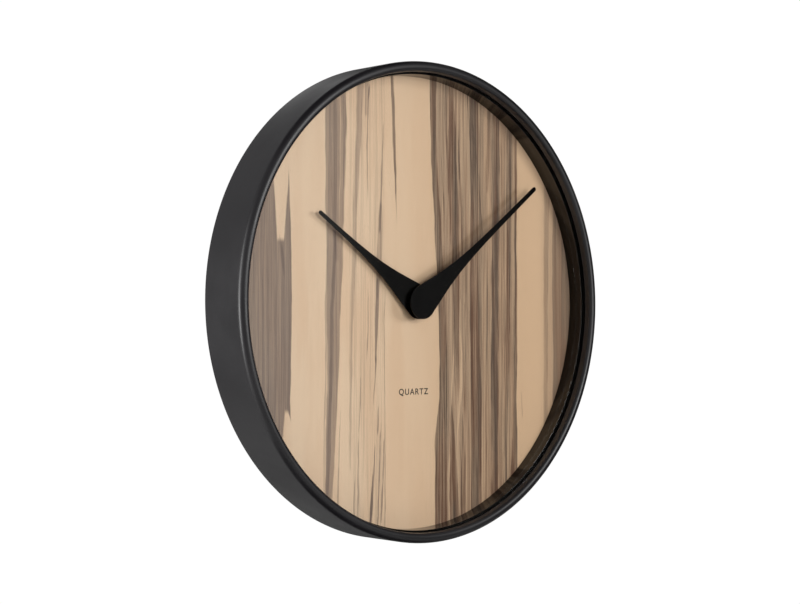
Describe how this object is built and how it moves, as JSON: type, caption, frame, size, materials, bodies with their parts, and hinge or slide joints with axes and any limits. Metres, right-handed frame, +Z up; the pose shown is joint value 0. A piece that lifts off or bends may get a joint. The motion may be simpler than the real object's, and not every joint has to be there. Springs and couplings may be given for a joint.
{
  "type": "round wall clock",
  "caption": "Round black wall clock with a rolled front bead, flat glass, striped veneer dial, two tapered hands and a battery quartz movement reached from the back.",
  "frame": {"origin": "on the axis of the hands, in the plane of the flat back rim that rests on the wall", "axes": "+Z up, +Y into the wall, so the dial faces -Y; +X is to the right for someone who reads the dial"},
  "size_m": [0.4, 0.048, 0.4],
  "materials": {
    "case_black": "satin moulded",
    "rehaut_black": "high gloss",
    "gasket_black": "matt",
    "lens": "clear, polished",
    "veneer": "fine sanded, matt lacquer",
    "dial_mdf": "raw fibreboard",
    "back_board": "black-faced fibreboard",
    "zinc_steel": "zinc plated",
    "brass": "machined",
    "hand_black": "matt black lacquer on aluminium sheet",
    "movement_black": "fine textured moulding",
    "white_nylon": "natural moulded acetal",
    "electrical_steel": "bare sheet",
    "coil_wire": "enamelled copper",
    "circuit_laminate": "lacquered paper laminate",
    "epoxy": "cured drop",
    "rotor_ferrite": "bonded ferrite",
    "cell_jacket": "printed film over a steel can"
  },
  "bodies": {
    "case": {"case_drum": "case_black", "bezel_ring": "case_black", "lens_gasket": "gasket_black", "lens_glass": "lens", "rehaut_ring": "rehaut_black", "dial_veneer": "veneer", "dial_board": "dial_mdf", "dial_screws": "zinc_steel", "back_cover": "back_board", "window_battens": "dial_mdf", "back_cover_screws": "zinc_steel", "hanger_plate": "zinc_steel", "hanger_screws": "zinc_steel", "movement_base": "movement_black", "movement_cover": "movement_black", "mid_plate": "white_nylon", "train_bridge": "white_nylon", "mounting_bush": "brass", "mounting_nut": "brass", "mounting_washer": "brass", "stator_plate": "electrical_steel", "coil_core": "electrical_steel", "coil_bobbin": "white_nylon", "coil_winding": "coil_wire", "circuit_board": "circuit_laminate", "quartz_crystal": "zinc_steel", "ic_blob": "epoxy", "contact_positive": "zinc_steel", "contact_negative": "zinc_steel"},
    "minute_work": {"minute_hand": "hand_black", "minute_collet": "brass", "minute_arbor": "brass", "cannon_pinion": "brass", "centre_wheel": "brass"},
    "hour_work": {"hour_hand": "hand_black", "hour_collet": "brass", "hour_pipe": "brass", "hour_wheel": "white_nylon"},
    "reversing_work": {"reversing_wheel": "white_nylon", "reversing_arbor": "zinc_steel"},
    "third_work": {"third_wheel": "white_nylon", "third_arbor": "zinc_steel"},
    "seconds_work": {"seconds_wheel": "white_nylon", "seconds_arbor": "zinc_steel"},
    "intermediate_work": {"intermediate_wheel": "white_nylon", "intermediate_arbor": "zinc_steel"},
    "rotor": {"rotor_magnet": "rotor_ferrite", "rotor_pinion": "white_nylon", "rotor_arbor": "zinc_steel"},
    "knob": {"setting_knob": "movement_black", "knob_pinion": "white_nylon"},
    "battery": {"battery_cell": "cell_jacket"}
  },
  "joints": [
    {"name": "minute_turn", "type": "hinge", "parent": "case", "child": "minute_work", "pos_m": [0, -0.01, 0], "axis": [0, 1, 0], "continuous": true},
    {"name": "hour_turn", "type": "hinge", "parent": "case", "child": "hour_work", "pos_m": [0, -0.01, 0], "axis": [0, 1, 0], "continuous": true},
    {"name": "reversing_turn", "type": "hinge", "parent": "case", "child": "reversing_work", "pos_m": [0.00752, -0.01, -0.00274], "axis": [0, 1, 0], "continuous": true},
    {"name": "third_turn", "type": "hinge", "parent": "case", "child": "third_work", "pos_m": [-0.00837, -0.01, 0.00148], "axis": [0, 1, 0], "continuous": true},
    {"name": "seconds_turn", "type": "hinge", "parent": "case", "child": "seconds_work", "pos_m": [0, -0.01, 0], "axis": [0, 1, 0], "continuous": true},
    {"name": "intermediate_turn", "type": "hinge", "parent": "case", "child": "intermediate_work", "pos_m": [0.0035, -0.01, 0.00606], "axis": [0, 1, 0], "continuous": true},
    {"name": "rotor_turn", "type": "hinge", "parent": "case", "child": "rotor", "pos_m": [0.00237, -0.01, 0.01244], "axis": [0, 1, 0], "continuous": true},
    {"name": "knob_turn", "type": "hinge", "parent": "case", "child": "knob", "pos_m": [0.01579, -0.01, -0.00419], "axis": [0, 1, 0], "continuous": true},
    {"name": "battery_out", "type": "slide", "parent": "case", "child": "battery", "axis": [0, 1, 0], "range_m": [0, 0.024]}
  ],
  "couplings": [
    {"joint": "hour_turn", "follows": "minute_turn", "ratio": 0.083333},
    {"joint": "reversing_turn", "follows": "minute_turn", "ratio": -0.33333},
    {"joint": "third_turn", "follows": "minute_turn", "ratio": -7.5},
    {"joint": "seconds_turn", "follows": "minute_turn", "ratio": 60},
    {"joint": "intermediate_turn", "follows": "minute_turn", "ratio": -360},
    {"joint": "rotor_turn", "follows": "minute_turn", "ratio": 1800},
    {"joint": "knob_turn", "follows": "minute_turn", "ratio": 0.83333}
  ]
}
